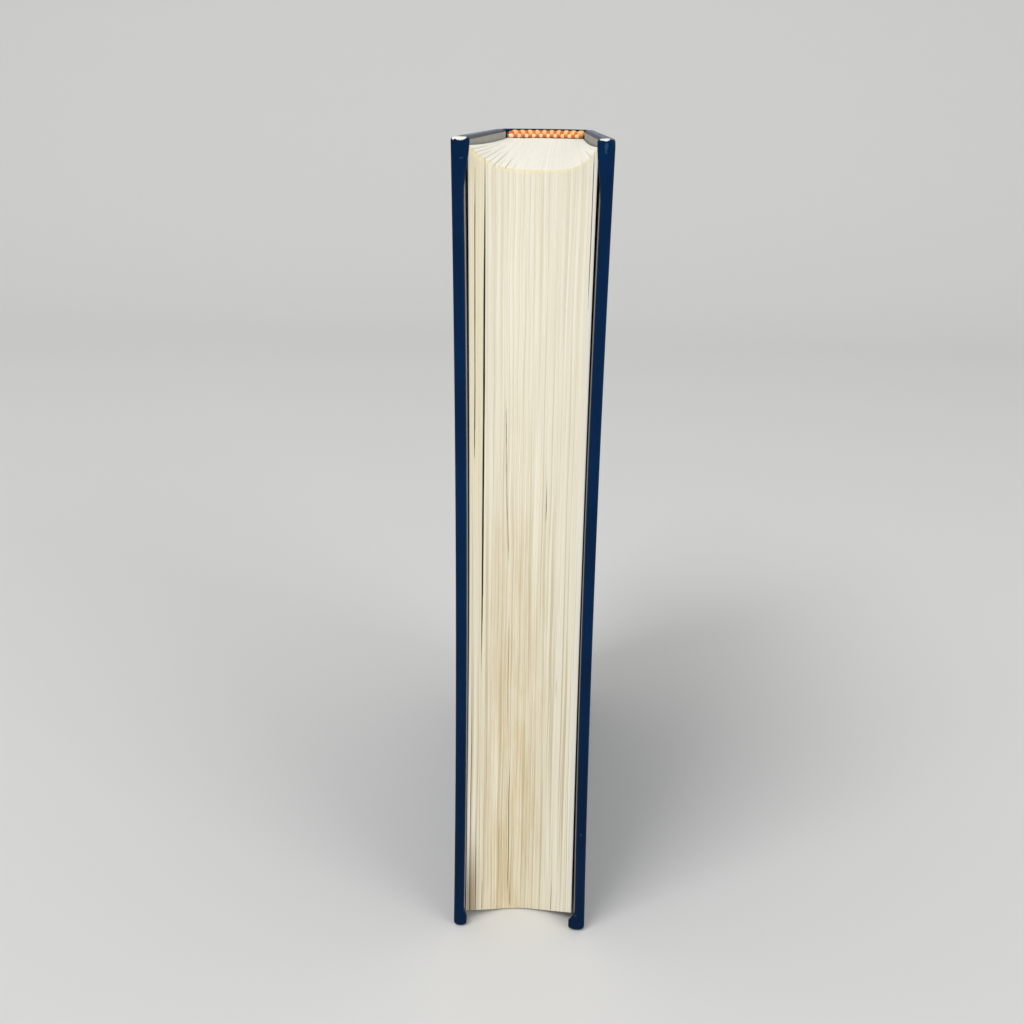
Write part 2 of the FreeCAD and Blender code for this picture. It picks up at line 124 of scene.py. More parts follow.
# %% A closed mesh round filled cells
def skin_of(filled):
    """The outer faces of the filled cells: the grid points in use, and four of them to each face."""
    solid = np.pad(filled, 1)
    faces = []
    for axis in range(3):
        for step in (1, -1):
            bare = solid & ~np.roll(solid, -step, axis)
            corner = np.argwhere(bare) - 1
            corner[:, axis] += step == 1
            one, two = np.eye(3, dtype=int)[[(axis + 1) % 3, (axis + 2) % 3]]
            ring = [corner, corner + one, corner + one + two, corner + two]
            faces.append(np.stack(ring[::step], 1))
    faces = np.concatenate(faces)
    grid = tuple(np.array(filled.shape) + 1)
    flat = np.ravel_multi_index(faces.reshape(-1, 3).T, grid)
    used, faces = np.unique(flat, return_inverse=True)
    return np.unravel_index(used, grid), faces.reshape(-1, 4)


def slab(*counts):
    """The skin of a plain block of cells."""
    return skin_of(np.ones(counts, bool))


def make_mesh(name, points, faces, crease=35):
    """A new object from points and faces, smooth where faces meet at less than the crease angle."""
    a, b, c, d = (points[faces[:, n]] for n in range(4))
    volume = (a * np.cross(b, c)).sum() + (a * np.cross(c, d)).sum()
    if volume < 0:
        faces = faces[:, ::-1]
    mesh = bpy.data.meshes.new(name)
    mesh.from_pydata(points.tolist(), [], faces.tolist())
    mesh.polygons.foreach_set("use_smooth", np.ones(len(faces), bool))
    mesh.set_sharp_from_angle(angle=math.radians(crease))
    mesh.update()
    piece = bpy.data.objects.new(name, mesh)
    bpy.context.scene.collection.objects.link(piece)
    return piece


def keep_value(piece, name, values):
    """Stores one number for each point of a piece, for its material to read."""
    made = piece.data.attributes.new(name, "FLOAT", "POINT")
    made.data.foreach_set("value", np.asarray(values, np.float32))


def dress(piece, body, slot, *materials):
    """Gives a piece its material and the body it belongs to; the slot is not used."""
    for material in materials:
        piece.data.materials.append(material)
    if body:
        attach(piece, body)
    print(f"{piece.name}: {len(piece.data.polygons)} faces")
    return piece


# %% [markdown]
# ## Small helpers for materials
# A material is a chain of nodes. Two short helpers keep the chains readable: one adds a node and
# plugs its inputs in, the other turns a colour as a painter reads it into the linear numbers that
# the renderer works with.

# %% Nodes and colours
def plug_in(tree, node, plugs):
    """Fills inputs. plugs holds pairs of an input and what goes in: a value, or another node's output."""
    for where, what in plugs:
        if isinstance(what, bpy.types.NodeSocket):
            tree.links.new(what, node.inputs[where])
        else:
            node.inputs[where].default_value = what
    return node


def add(tree, kind, plugs=(), **settings):
    """Adds a node with these settings and fills its inputs."""
    made = tree.nodes.new("ShaderNode" + kind)
    for name, value in settings.items():
        setattr(made, name, value)
    return plug_in(tree, made, plugs)


def paint(red, green, blue):
    """A screen colour, 0 to 255 each, as linear light."""
    shares = [c / 255 for c in (red, green, blue)]
    return [s / 12.92 if s < 0.04 else ((s + 0.055) / 1.055) ** 2.4 for s in shares] + [1.0]


def maths(tree, kind, *values):
    """The result of a Math node, such as MULTIPLY, on two values."""
    return add(tree, "Math", list(enumerate(values)), operation=kind).outputs[0]


def ramp(tree, value, low, high, start=0.0, end=1.0):
    """A value turned from the range low-high into the range start-end, softly."""
    plugs = [("Value", value), ("From Min", low), ("From Max", high), ("To Min", start), ("To Max", end)]
    return add(tree, "MapRange", plugs, interpolation_type="SMOOTHSTEP").outputs[0]


def mix(tree, share, first, second):
    """Two colours mixed by a share."""
    plugs = [(0, share), (6, first), (7, second)]
    return add(tree, "Mix", plugs, data_type="RGBA").outputs[2]


def new_group(name, takes, gives):
    """An empty node group with named inputs and outputs."""
    tree = bpy.data.node_groups.new(name, "ShaderNodeTree")
    for label, kind, value in takes:
        made = tree.interface.new_socket(label, in_out="INPUT", socket_type=kind)
        made.default_value = value
    for label in gives:
        tree.interface.new_socket(label, in_out="OUTPUT", socket_type="NodeSocketFloat")
    return tree, tree.nodes.new("NodeGroupInput").outputs, tree.nodes.new("NodeGroupOutput").inputs


def fill(tree, group, plugs):
    """Places a node group, fills its inputs and gives back its outputs."""
    made = tree.nodes.new("ShaderNodeGroup")
    made.node_tree = group
    return plug_in(tree, made, plugs).outputs


FLOAT = "NodeSocketFloat"
VECTOR = "NodeSocketVector"

# %% [markdown]
# ## Effects that several materials share
# Paper, cloth and card are all made of fibre, so they share a grain, a slow change of tone, and the
# way they wear. Each effect is a node group, made once, with numbers that every material sets its
# own way. A group gives masks and heights only, and the material decides what they do.

# %% Grain: fine fibre height and a slow mottling of the tone
grain, given, out = new_group(
    "fibre grain",
    [("Fine", FLOAT, 2600.0), ("Coarse", FLOAT, 60.0)],
    ["Height", "Mottle"],
)
place = add(grain, "TexCoord").outputs["Object"]
plugs = [("Vector", place), ("Scale", given["Fine"]), ("Detail", 3.0), ("Roughness", 0.6)]
fine = add(grain, "TexNoise", plugs)
plugs = [("Vector", place), ("Scale", given["Coarse"]), ("Detail", 4.0), ("Roughness", 0.55)]
slow = add(grain, "TexNoise", plugs)
grain.links.new(fine.outputs["Fac"], out["Height"])
grain.links.new(ramp(grain, slow.outputs["Fac"], 0.3, 0.7), out["Mottle"])

# %% Worn spot: a ragged mask round one place
worn, given, out = new_group(
    "worn spot",
    [("Place", VECTOR, (0, 0, 0)), ("Size", VECTOR, (0.003, 0.003, 0.003)),
     ("Ragged", FLOAT, 0.5), ("Scale", FLOAT, 1400.0)],
    ["Mask"],
)
place = add(worn, "TexCoord").outputs["Object"]
away = add(worn, "VectorMath", [(0, place), (1, given["Place"])], operation="SUBTRACT").outputs[0]
away = add(worn, "VectorMath", [(0, away), (1, given["Size"])], operation="DIVIDE").outputs[0]
away = add(worn, "VectorMath", [(0, away)], operation="LENGTH").outputs["Value"]
rough = add(worn, "TexNoise", [("Vector", place), ("Scale", given["Scale"]), ("Detail", 4.0)]).outputs["Fac"]
rough = maths(worn, "MULTIPLY", maths(worn, "SUBTRACT", rough, 0.5), given["Ragged"])
worn.links.new(ramp(worn, maths(worn, "ADD", away, rough), 1.1, 0.8), out["Mask"])

# %% Leaf lines: the edges of the leaves as streaks that follow each leaf
leaf_lines, given, out = new_group(
    "leaf lines",
    [("Leaf", FLOAT, 0.0), ("Height", FLOAT, 0.0)],
    ["Fine", "Bundle", "Stain"],
)


def streak(across, along, detail):
    """Noise drawn out along the leaves: many changes across them and few along them."""
    wide = maths(leaf_lines, "MULTIPLY", given["Leaf"], across)
    tall = maths(leaf_lines, "MULTIPLY", given["Height"], along)
    where = add(leaf_lines, "CombineXYZ", [("X", wide), ("Y", tall)]).outputs[0]
    plugs = [("Vector", where), ("Scale", 1.0), ("Detail", detail), ("Roughness", 0.6)]
    return add(leaf_lines, "TexNoise", plugs).outputs["Fac"]


leaf_lines.links.new(ramp(leaf_lines, streak(4.2, 0.012, 2.0), 0.32, 0.68), out["Fine"])
leaf_lines.links.new(ramp(leaf_lines, streak(1.7, 0.006, 3.0), 0.36, 0.64), out["Bundle"])
leaf_lines.links.new(ramp(leaf_lines, streak(0.16, 0.03, 4.0), 0.35, 0.65), out["Stain"])

# %% Open weave: two sets of threads crossing, for mull and tape
weave, given, out = new_group("open weave", [("Pitch", FLOAT, 0.001)], ["Thread", "Height"])
place = add(weave, "TexCoord").outputs["Object"]
parts = add(weave, "SeparateXYZ", [("Vector", place)]).outputs
waves = []
for n in (1, 2):
    along = maths(weave, "DIVIDE", parts[n], given["Pitch"])
    waves.append(maths(weave, "SINE", maths(weave, "MULTIPLY", along, math.tau)))
thread = maths(weave, "MAXIMUM", *waves)
weave.links.new(ramp(weave, thread, 0.1, 0.6), out["Thread"])
weave.links.new(ramp(weave, thread, -1.0, 1.0), out["Height"])
print("groups:", [g.name for g in bpy.data.node_groups])

# %% [markdown]
# ## The covering: dark blue binder's paper
# The boards wear a smooth, faintly grained blue paper with a soft gloss. At the head corners it has
# been rubbed through, and the white core of the paper shows with a ragged rim. A worn spot is placed
# on each such corner by its own position, so it stays on that corner from every side.

# %% Make a covering material
NAVY = paint(0, 37, 76)
NAVY_DEEP = paint(0, 31, 65)
# The blue of the lower part of the book in painted shade.
NAVY_SHADED_LOW = paint(0, 17, 36)
RUBBED = paint(44, 84, 112)
CORE = paint(236, 234, 226)
# Pale grey-blue of dust on the top edges, which also stands in for a painted sheen of light on them.
DUST_AND_SHEEN = paint(134, 150, 166)


def start(name):
    """A material with its tree and its Principled shader."""
    material = bpy.data.materials.new(name)
    material.use_nodes = True
    return material, material.node_tree, material.node_tree.nodes["Principled BSDF"].inputs


def bump(tree, height, strength, distance):
    """The normal that a height gives."""
    plugs = [("Height", height), ("Strength", strength), ("Distance", distance)]
    return add(tree, "Bump", plugs).outputs[0]


def spots(tree, places, ragged=0.9):
    """One mask for several worn spots, each a place and a size in millimetres."""
    total = 0.0
    for place, extent in places:
        spot = to_frame(*np.array(place, float))
        plugs = [("Place", spot), ("Size", [e * MM for e in extent]), ("Ragged", ragged)]
        mask = fill(tree, worn, plugs)["Mask"]
        total = mask if total == 0.0 else maths(tree, "MAXIMUM", total, mask)
    return total


def covering_material(name, bare, kept, rubbed):
    """Blue covering: worn bare in some places but for flakes that kept their blue, only rubbed in others,
    painted darker towards the bottom as shade, and greyed on faces that look up as dust and painted sheen.
    """
    material, tree, shader = start(name)
    fibre = fill(tree, grain, [("Fine", 2300.0), ("Coarse", 45.0)])
    place = add(tree, "TexCoord").outputs["Object"]
    height = add(tree, "SeparateXYZ", [("Vector", place)]).outputs["Z"]
    # Painted shade: the blue is darkened towards the bottom of the book, where less light falls from above.
    low_shade = ramp(tree, height, 0.17, 0.02, 0.0, 0.4)
    pale = spots(tree, rubbed, ragged=2.0)
    core = maths(tree, "SUBTRACT", spots(tree, bare), spots(tree, kept))
    core = ramp(tree, core, 0.0, 1.0)
    normal = add(tree, "NewGeometry").outputs["Normal"]
    facing_up = add(tree, "SeparateXYZ", [("Vector", normal)]).outputs["Z"]
    patchy = ramp(tree, fibre["Mottle"], 0.0, 1.0, 0.6, 1.0)
    # Dust and painted sheen: faces that look up are greyed towards a pale blue, partly dust on the top edges,
    # partly a painted sheen of the light they catch.
    dust_and_sheen = maths(tree, "MULTIPLY", ramp(tree, facing_up, 0.75, 1.0, 0.0, 0.55), patchy)
    colour = mix(tree, fibre["Mottle"], NAVY_DEEP, NAVY)
    colour = mix(tree, low_shade, colour, NAVY_SHADED_LOW)
    colour = mix(tree, maths(tree, "MULTIPLY", pale, 0.6), colour, RUBBED)
    colour = mix(tree, core, colour, CORE)
    colour = mix(tree, dust_and_sheen, colour, DUST_AND_SHEEN)
    tree.links.new(colour, shader["Base Color"])
    dulled = maths(tree, "MAXIMUM", core, pale)
    tree.links.new(ramp(tree, dulled, 0.0, 1.0, 0.36, 0.85), shader["Roughness"])
    tree.links.new(bump(tree, fibre["Height"], strength=0.35, distance=0.00012), shader["Normal"])
    shader["Specular IOR Level"].default_value = 0.07
    return material


# Each place and its size are in millimetres: first the bare spots, then the flakes, then the rubbed ones.
front_blue = covering_material(
    "covering of the front board",
    [((-18.4, 0.2, 235.1), (2.6, 1.2, 0.95)), ((-19.3, 3.0, 235.1), (1.1, 3.4, 0.9)),
     ((-20.2, 0.2, 0.0), (0.5, 0.6, 0.5))],
    [((-19.2, 0.0, 234.2), (0.35, 0.6, 0.3))],
    [((-17.6, 0.0, 230.0), (0.6, 0.5, 0.18)), ((-20.3, 0.6, 226.0), (0.2, 0.4, 3.0)),
     ((-19.8, 0.1, 90.0), (0.2, 0.3, 2.5))],
)
back_blue = covering_material(
    "covering of the back board",
    [((17.7, 0.2, 235.1), (1.7, 1.1, 0.7)), ((18.2, 1.8, 235.1), (1.2, 1.8, 0.6)),
     ((20.2, 0.2, 0.2), (0.5, 0.6, 0.5))],
    [((20.3, 0.4, 234.4), (1.5, 3.2, 2.2))],
    [((18.1, 0.0, 232.8), (0.4, 0.5, 1.5)), ((16.4, 0.0, 162.4), (0.3, 0.4, 0.3)),
     ((18.3, 0.0, 35.2), (0.3, 0.4, 0.3)), ((17.4, 0.0, 5.8), (0.4, 0.4, 0.25))],
)
spine_blue = covering_material(
    "covering of the spine",
    [],
    [],
    [((0.0, 164.0, 234.6), (9.0, 1.5, 0.35)), ((3.0, 164.0, 0.4), (8.0, 1.5, 0.4))],
)
print("covering materials made")

# %% [markdown]
# ## The edge of the leaves
# Hundreds of leaves pressed together read as fine vertical lines: pale ridges, tan hollows, and a few
# dark slits where bundles part, the hollows and slits darkened with painted shade. The colour follows each
# leaf, so the mesh carries how far across the block every point lies, and the lines bend with the book.
# Age shows as a tan centre low down, darkened further there with painted shade, a brown stain in one
# bottom corner and a yellow line along the top arris. The leaves by the front cover are painted in shade,
# and the head is painted lighter, as lit from above.

# %% Make the leaf material
# The hollow tone of each pair is darker partly as painted shade in the hollows between leaves, and partly as
# the paper's own tone.
PALE = paint(238, 230, 208), paint(250, 246, 230)      # the hollows and the ridges of pale leaves
TAN = paint(204, 184, 140), paint(243, 230, 198)       # of aged ones
# The head's tones are painted light: the same paper, brighter where it faces the light from above.
HEAD_LIT_TONE = paint(245, 240, 224), paint(254, 251, 241) # and on the head
# The tone of painted shade between bundles of leaves.
BUNDLE_SHADE_TONE = paint(190, 172, 134)
STAIN = paint(132, 108, 76)
# The tone of painted shade on the leaves by the front cover.
FRONT_SHADE_TONE = paint(236, 224, 186)
BACK_TONE = paint(236, 234, 228)
ARRIS_TONE = paint(252, 241, 198)
# Painted shade inside the slits and along the partings on the head.
SLIT_SHADE_TONE = paint(84, 66, 44)

edges, tree, shader = start("edges of the leaves")
leaf, slit_shade, arris, head_face = (
    add(tree, "Attribute", attribute_name=name).outputs["Fac"]
    for name in ("leaf", "slit_shade", "arris", "head_face"))
spot = add(tree, "SeparateXYZ", [("Vector", add(tree, "TexCoord").outputs["Object"])]).outputs
height = maths(tree, "MULTIPLY", spot["Z"], 1 / MM)
lines = fill(tree, leaf_lines, [("Leaf", leaf), ("Height", height)])
fibre = fill(tree, grain, [("Fine", 3200.0), ("Coarse", 90.0)])

# Masks, from the place across the block and the height, both in millimetres.
# Tan and darker towards the bottom: the paper's ageing, and painted shade lower down.
low = ramp(tree, height, 205.0, 40.0)
middle = ramp(tree, maths(tree, "ABSOLUTE", maths(tree, "ADD", leaf, 3.0)), 15.0, 2.0)
age_and_shade = maths(tree, "MULTIPLY", low, middle)
age_and_shade = maths(tree, "MULTIPLY", age_and_shade, ramp(tree, lines["Stain"], 0.0, 1.0, 0.55, 1.0))
# Painted shade between bundles of leaves, stronger lower down.
bundle_shade = ramp(tree, lines["Bundle"], 0.0, 0.4, 0.6, 0.0)
bundle_shade = maths(tree, "MULTIPLY", bundle_shade, ramp(tree, height, 230.0, 60.0, 0.4, 1.0))
corner = maths(tree, "MULTIPLY", ramp(tree, leaf, -12.2, -15.0), ramp(tree, height, 36.0, 8.0))
# Painted shade on the leaves by the front cover, where the hollow opening edge turns away from the lamp:
# darker and browner above the lowest part.
front_shade = maths(tree, "MULTIPLY", ramp(tree, leaf, -12.3, -12.9, 0.0, 0.5), ramp(tree, height, 60.0, 190.0))
cool = ramp(tree, leaf, 14.2, 15.8, 0.0, 0.7)

colour = mix(tree, age_and_shade, mix(tree, lines["Fine"], *PALE), mix(tree, lines["Fine"], *TAN))
colour = mix(tree, bundle_shade, colour, BUNDLE_SHADE_TONE)
colour = mix(tree, maths(tree, "MULTIPLY", corner, 0.75), colour, STAIN)
colour = mix(tree, front_shade, colour, FRONT_SHADE_TONE)
colour = mix(tree, cool, colour, BACK_TONE)
# Painted light: the head, which faces the light from above, is painted a brighter cream than the opening
# edge.
colour = mix(tree, head_face, colour, mix(tree, lines["Fine"], *HEAD_LIT_TONE))
colour = mix(tree, maths(tree, "MULTIPLY", arris, 0.75), colour, ARRIS_TONE)
colour = mix(tree, slit_shade, colour, SLIT_SHADE_TONE)
tree.links.new(colour, shader["Base Color"])
ridges = maths(tree, "ADD", lines["Fine"], maths(tree, "MULTIPLY", fibre["Height"], 0.4))
tree.links.new(bump(tree, ridges, strength=0.5, distance=0.00012), shader["Normal"])
tree.links.new(ramp(tree, lines["Fine"], 0.0, 1.0, 0.9, 0.75), shader["Roughness"])
shader["Specular IOR Level"].default_value = 0.25
print("leaf material:", len(tree.nodes), "nodes")

# %% [markdown]
# ## The block of leaves
# The real block isn't a box: its back is rounded, its opening edge is hollow to match, the sides lean
# in at mid-height, and the middle leaves sag a little at both ends. The grid has about one column for
# every leaf, so each can stand a hair proud of the next, and a slit is a few columns pushed inwards.

# %% Where the points of the leaves lie
COLUMNS = 372
HEAD, TAIL = 233.0, 4.6
SPINE_HEAD, SPINE_TAIL = 231.8, 3.4
HEAD_SAG, TAIL_SAG = 6.4, 4.3        # how far the middle leaves sink below the outer ones
SAG_FRONT, SAG_BACK, SAG_TAIL = 2.9, 4.2, 2.8     # a higher power keeps the sag flatter in the middle
TAIL_SLOPE = 0.025                   # how the tail rises across the block, from the front cover to the back
SPLAY = 0.45                         # how far the foot spreads towards the front cover
NEAR_EDGE = 0.06                     # the share of the block's depth that slits and uneven leaves reach
ARRIS = 0.65, 0.9                    # the reach of the yellow line down the opening edge and in on the head
across = np.linspace(-1, 1, COLUMNS + 1)
deep = np.concatenate([[0, 0.002, 0.005, 0.01, 0.02, 0.04], np.linspace(0.08, 1, 15)])
rise = np.concatenate([[0, 0.0015, 0.004, 0.008, 0.016], np.linspace(0.03, 0.97, 54),
                       [0.984, 0.992, 0.996, 0.9985, 1]])


def random_line(step, size):
    """A value for each column that changes every step columns, smoothly."""
    knots = rng.normal(0, 1, int(COLUMNS / step) + 3)
    return np.interp(np.arange(COLUMNS + 1) / step, np.arange(len(knots)), knots) * size


stand = random_line(1.6, 0.03) + random_line(5.5, 0.05) + random_line(21, 0.05)
stand[[0, -1]] = 0
sway = [(random_line(40, 0.12), rng.uniform(0, 6), rng.uniform(5, 11)) for _ in range(3)]

# Each slit: its place across the block, how that moves up the block, its half width, its depth, and
# where it opens and closes from the tail up, all in millimetres but the first.
SLITS = [
    (-0.92, 0.0002, 0.11, 1.3, 150, 158, 215, 230),
    (-0.78, 0.00025, 0.27, 3.2, 82, 125, 185, 240),
    (-0.37, -0.0018, 0.08, 0.35, 118, 124, 160, 168),
    (-0.30, 0.0, 0.08, 0.3, 62, 70, 96, 104),
    (0.341, 0.0, 0.1, 0.5, 132, 134, 139, 141),
    (0.612, 0.0, 0.12, 0.4, 80, 80.8, 82.4, 83),
    (-0.25, 0.0, 0.1, 0.8, 6, 9, 40, 56),
    (-0.43, 0.0, 0.09, 0.5, 9, 13, 24, 34),
    (-0.742, 0.0, 0.1, 0.7, 1, 3, 7, 13),
    (-0.215, 0.0, 0.1, 0.7, 1, 3, 5, 10),
    (0.61, 0.0, 0.08, 0.4, 1, 3, 6, 14),
    (-0.955, 0.0, 0.12, 0.8, 1, 3, 40, 90),
    (-0.86, 0.0, 0.1, 0.6, 1, 3, 20, 50),
    (0.955, 0.0, 0.1, 0.7, 190, 205, 226, 234),
]
# Lines on the head where bundles part: the place across the block, the depth, and how far back they run.
PARTINGS = [(-0.95, 0.5, 70), (-0.9, 0.6, 110), (-0.84, 0.4, 60), (-0.775, 0.7, 120), (-0.7, 0.4, 80),
            (-0.62, 0.5, 90), (-0.55, 0.3, 50), (-0.45, 0.35, 70), (-0.33, 0.25, 40), (0.78, 0.3, 50),
            (0.9, 0.4, 60)]


def slit_depth(u, z):
    """How far the slits push the opening edge in at each point, and how much painted shade darkens them, 0 to
    1.
    """
    push = np.zeros(np.broadcast(u, z).shape)
    dark = push.copy()
    for at, lean, half, deepest, low, opened, closing, high in SLITS:
        off = np.abs(u - at - lean * (z - (low + high) / 2)) * HALF_FORE
        open_now = smooth(low, opened, z) * (1 - smooth(closing, high, z))
        width = half * (0.35 + 0.65 * open_now)
        share = (1 - smooth(0.55, 1.0, off / np.maximum(width, 0.06))) * (open_now > 0)
        push = np.maximum(push, share * deepest * open_now)
        dark = np.maximum(dark, share * open_now * min(1, 0.25 + deepest / 3))
    return push, dark


def parting_depth(u, y):
    """How far the partings sink the head, at each point of it."""
    sink = np.zeros(np.broadcast(u, y).shape)
    for at, deepest, run in PARTINGS:
        line = 1 - smooth(0.05, 0.14, np.abs(u - at) * HALF_FORE)
        sink = np.maximum(sink, line * deepest * (1 - smooth(run * 0.4, run, y)))
    return sink


def leaf_points(i, j, k):
    """The block's points, with the values that its material reads."""
    u, s, v = across[i], deep[j], rise[k]
    at_end = np.abs(2 * v - 1) == 1
    level = v * BOARD_HEIGHT
    drift = sum(line[i] * np.sin(phase + level / long) for line, phase, long in sway)
    fore_y = FORE_CENTRE + np.sqrt(FORE_RADIUS**2 - (u * HALF_FORE) ** 2)
    back_y = ARC_CENTRE + np.sqrt(SPINE_RADIUS**2 - (u * HALF_SPINE) ** 2)
    y = fore_y + (back_y - fore_y) * s
    for _ in range(3):
        half = HALF_SPINE + reach(y) * (BLOCK_LEAN - BLOCK_BOW * bow(level))
        x = u * half - SPLAY * (1 - smooth(20, 120, level)) * np.clip(-u, 0, 1) ** 3 * reach(y)
        belly = 1 - np.abs(np.clip(x / HALF_FORE, -1, 1)) ** np.where(x > 0, SAG_BACK, SAG_FRONT)
        tail_belly = 1 - np.abs(u) ** SAG_TAIL
        share = np.clip(y / DEPTH, 0, 1)
        top = (1 - share) * (HEAD - HEAD_SAG * belly) + share * SPINE_HEAD
        base = (1 - share) * (TAIL - TAIL_SAG * tail_belly + TAIL_SLOPE * x) + share * SPINE_TAIL
        level = base + (top - base) * v
    near = 1 - smooth(0.0, NEAR_EDGE, s)
    push, dark = slit_depth(u, level)
    inside = 1 - np.abs(u) ** 8
    y = y + near * (push + (stand[i] + 0.05 * drift) * inside)
    x = x + near * drift * 0.55 * inside
    sink = parting_depth(u, y) * (v == 1)
    level = level + np.where(at_end, np.sign(v - 0.5) * stand[i] * 0.55 * inside, 0) - sink
    softer = 1 + 1.6 * smooth(-0.7, -0.95, u)
    down, back = (size * softer for size in ARRIS)
    # slit_shade carries the painted shade of the slits and of the partings sunk into the head.
    values = {
        "leaf": u * HALF_FORE,
        "slit_shade": np.maximum(dark * near, 0.6 * np.minimum(sink, 0.7)),
        "arris": np.exp(-((top - level) / down) ** 2) * np.exp(-((y - fore_y) / back) ** 2),
        "head_face": smooth(0.3, 1.2, y - fore_y) * at_end,
    }
    return to_frame(x, y, level), values


# %% Build the block of leaves
grid, faces = slab(COLUMNS, len(deep) - 1, len(rise) - 1)
points, values = leaf_points(*grid)
pages = make_mesh("leaves", points, faces, crease=60)
for name, numbers in values.items():
    keep_value(pages, name, numbers)
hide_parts("text_block")
dress(pages, "block", "pages", edges)

# %% [markdown]
# ## The covering on the boards
# One sheet wraps each board, turns in over three edges and runs on through the joint to the spine.
# It is made as a thin shell with the board's pocket left empty, so a cut or an open cover shows real
# folds. Its edges are rounded by drawing the outermost cells onto a small arc, which a bevel could do
# too, but this keeps the shell's thickness even. At the hinge the grid keeps one row of faces, from
# FOLD_END to FOLD_START, with no point inside it.

# %% Where the points of the covering lie
CLOTH, TURN_IN = 0.35, 15.0
TURN_IN_BACK = 149.4                 # in the joint the turned-in layer stops here, under the pastedown
FOLD_START, FOLD_END = 154.1, 152.7  # the row of faces across the hinge
UNDER, OVER_TURN, OVER_BOARD, OVER_ALL = 0.15, 0.5, 2.9, 3.25     # layers, outwards from the pastedown
MIDDLE = (UNDER + OVER_ALL) / 2
JOINT_TOP = OVER_TURN + CLOTH
PASTE_X = 14.6                       # the pastedown's face at the hinge
EDGE, JOINT_EDGE = 0.8, 0.3          # the roundness of the board's edges and of the joint's ends
BACK_EDGE_FROM = 1.2                 # below this layer the board's back edge stays square

layers = np.array([UNDER, 0.3, OVER_TURN, 0.7, JOINT_TOP, 0.98, 1.3, 1.7, 2.1, 2.45, 2.6, 2.75, OVER_BOARD,
                   3.0, 3.12, OVER_ALL])
edge_steps = [0, 0.1, 0.22, CLOTH, 0.5, 0.65, EDGE, 1.1, 1.5, 2.0, 2.7, 3.6, 4.8, 6.5, 9, 12, TURN_IN]
back_steps = [BOARD_BACK - step for step in (4, 1.6, EDGE, 0.6, CLOTH, 0.22, 0.1, 0)]
joint_steps = [147.2, 147.7, 148.5, 149.4, 150.2, 150.8, 151.2, 151.5, 151.8, 152.1, 152.4, FOLD_END,
               FOLD_START, 154.35, 154.6, 154.85, 155.1, 155.4, 155.7, JOINT_END]
reaches = np.array(edge_steps + list(np.linspace(22, 138, 17)) + back_steps + joint_steps)
heights = np.array(edge_steps + list(np.linspace(22, 213, 28)) + [BOARD_HEIGHT - s for s in edge_steps[::-1]])


def covered_cells():
    """Which cells of a cover's grid are filled with covering."""
    o, y, z = np.meshgrid(*[(a[1:] + a[:-1]) / 2 for a in (layers, reaches, heights)], indexing="ij")
    over_board = y < BOARD_BACK
    pocket = (o > OVER_TURN) & (o < OVER_BOARD) & (y > CLOTH) & (y < BOARD_BACK - CLOTH)
    pocket &= (z > CLOTH) & (z < BOARD_HEIGHT - CLOTH)
    opening = (o < OVER_TURN) & (y > TURN_IN) & (z > TURN_IN) & (z < BOARD_HEIGHT - TURN_IN)
    opening |= (o < OVER_TURN) & (y > TURN_IN_BACK)
    return (over_board | (o < JOINT_TOP)) & ~pocket & ~opening


def onto_arc(*pushes):
    """The moves that round a corner, from how far each point lies inside it on two or three sides."""
    push = np.stack(pushes)
    length = np.linalg.norm(push, axis=0)
    return push * (np.where(length > 1e-6, np.abs(push).max(0) / np.maximum(length, 1e-6), 1) - 1)


def short(edge, value):
    """How far a value falls short of an edge, or 0."""
    return np.clip(edge - value, 0, None)


def round_edges(o, y, z):
    """Draws the corners of the sheet's outside onto an arc."""
    on_board = y <= BOARD_BACK
    radius = np.where(on_board, EDGE, JOINT_EDGE)
    top = np.where(on_board, OVER_ALL, JOINT_TOP)
    at_back = on_board & (o > BACK_EDGE_FROM)
    push_o = short(radius, top - o) - short(radius, o - UNDER)
    push_y = np.where(at_back, short(EDGE, BOARD_BACK - y), 0) - short(EDGE, y)
    push_z = short(radius, BOARD_HEIGHT - z) - short(radius, z)
    move_o, move_y, move_z = onto_arc(push_o, push_y, push_z)
    return o + move_o, y + move_y, z + move_z


def batter(o, y, z, blows, folds):
    """Knocks corners in, and thickens them inwards where the turned-in corner is folded over itself."""
    for (o0, y0, z0), size, depth in blows:
        away = np.sqrt((o - o0) ** 2 + (y - y0) ** 2 + (z - z0) ** 2) / size
        knock = depth * np.exp(-(away**2))
        up = 1 if z0 > BOARD_HEIGHT / 2 else -1
        y = y + knock * 0.5
        z = z - up * knock
        o = o - np.sign(o0 - MIDDLE) * knock * 0.35
    head_fold, head_run, tail_fold, tail_run = folds
    at_head = head_fold * (1 - smooth(0.0, head_run, BOARD_HEIGHT - z))
    at_tail = tail_fold * (1 - smooth(tail_run * 0.55, tail_run, z))
    inner = 1 - smooth(UNDER, 2.0, o)
    return o - (at_head + at_tail) * inner * (1 - smooth(0.9, 1.6, y)), y, z


